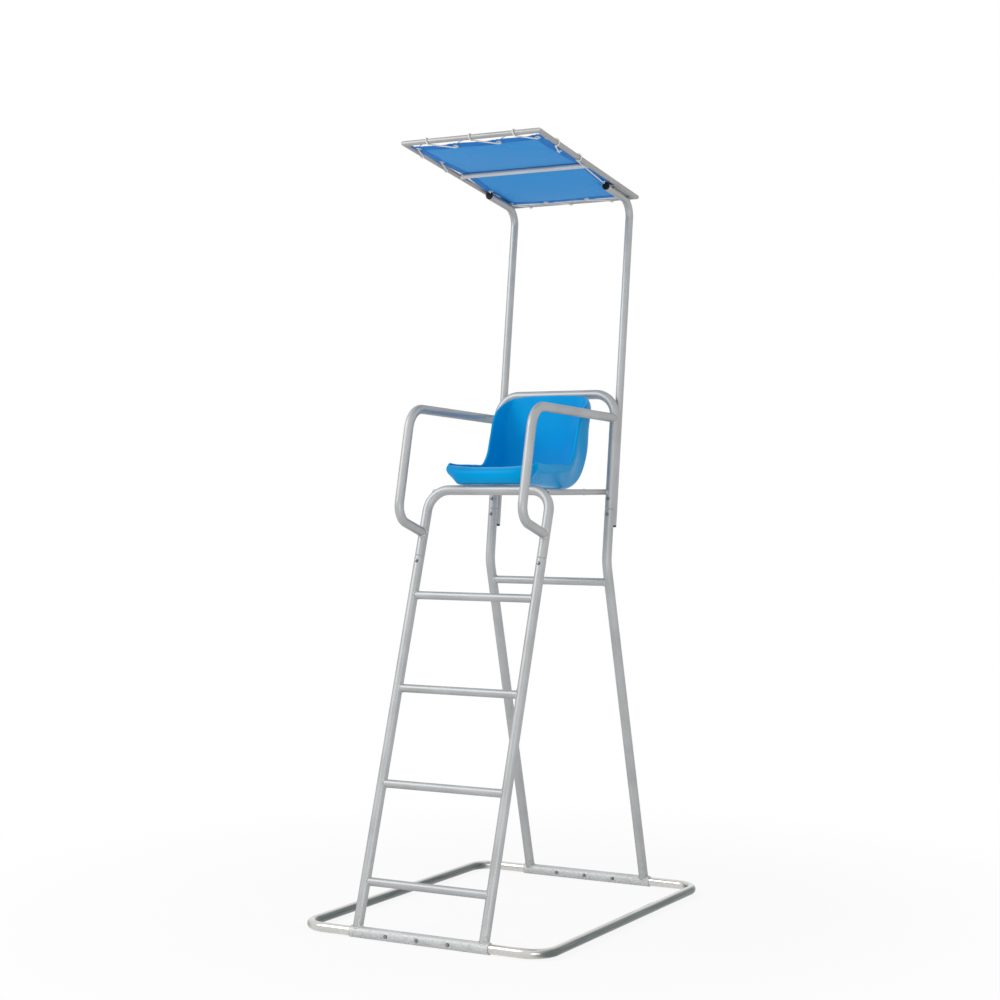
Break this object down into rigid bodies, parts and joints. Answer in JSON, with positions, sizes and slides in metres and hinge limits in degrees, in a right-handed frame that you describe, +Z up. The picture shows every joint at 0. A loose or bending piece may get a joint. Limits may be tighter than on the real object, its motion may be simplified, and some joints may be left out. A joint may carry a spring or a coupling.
{
  "type": "lifeguard tower",
  "caption": "Open aluminium-tube lifeguard chair: leaning ladder, bent rear legs, floor loop, blue moulded bucket seat with armrests, and a laced blue sunshade on two bent posts.",
  "frame": {"origin": "on the floor under the middle of the base loop", "axes": "+Z up, -Y towards the ladder side, +X to the right as seen from the ladder side"},
  "size_m": [0.942, 1.244, 2.6645],
  "materials": {
    "satin_tube": "satin anodised aluminium tube",
    "polished_tube": "polished aluminium tube",
    "matte_tube": "mill-finish aluminium sleeve",
    "shade_tube": "satin anodised aluminium tube",
    "blue_plastic": "glossy moulded plastic",
    "blue_cloth": "woven coated shade cloth",
    "black_plastic": "moulded black plastic"
  },
  "bodies": {
    "root": {"armrest_left": "satin_tube", "armrest_right": "satin_tube", "backrest_hoop": "satin_tube", "base_runner_left": "polished_tube", "base_runner_right": "polished_tube", "front_base_sleeve": "matte_tube", "front_hoop": "satin_tube", "ladder_leg_left": "satin_tube", "ladder_leg_right": "satin_tube", "ladder_rung_1": "satin_tube", "ladder_rung_2": "satin_tube", "ladder_rung_3": "satin_tube", "ladder_rung_4": "satin_tube", "post_arm_cap_left": "black_plastic", "post_arm_cap_right": "black_plastic", "post_foot_cap_left": "black_plastic", "post_foot_cap_right": "black_plastic", "rear_base_sleeve": "matte_tube", "rear_cross_bar": "satin_tube", "rear_leg_left": "satin_tube", "rear_leg_right": "satin_tube", "seat_cross_bar": "satin_tube", "seat_rail_left": "satin_tube", "seat_rail_right": "satin_tube", "seat_shell": "blue_plastic", "shade_bracket_left": "shade_tube", "shade_bracket_right": "shade_tube", "shade_cloth": "blue_cloth", "shade_front_bar": "shade_tube", "shade_middle_bar": "shade_tube", "shade_post_left": "satin_tube", "shade_post_right": "satin_tube", "shade_rear_bar": "shade_tube", "shade_side_left": "shade_tube", "shade_side_right": "shade_tube"}
  },
  "joints": []
}
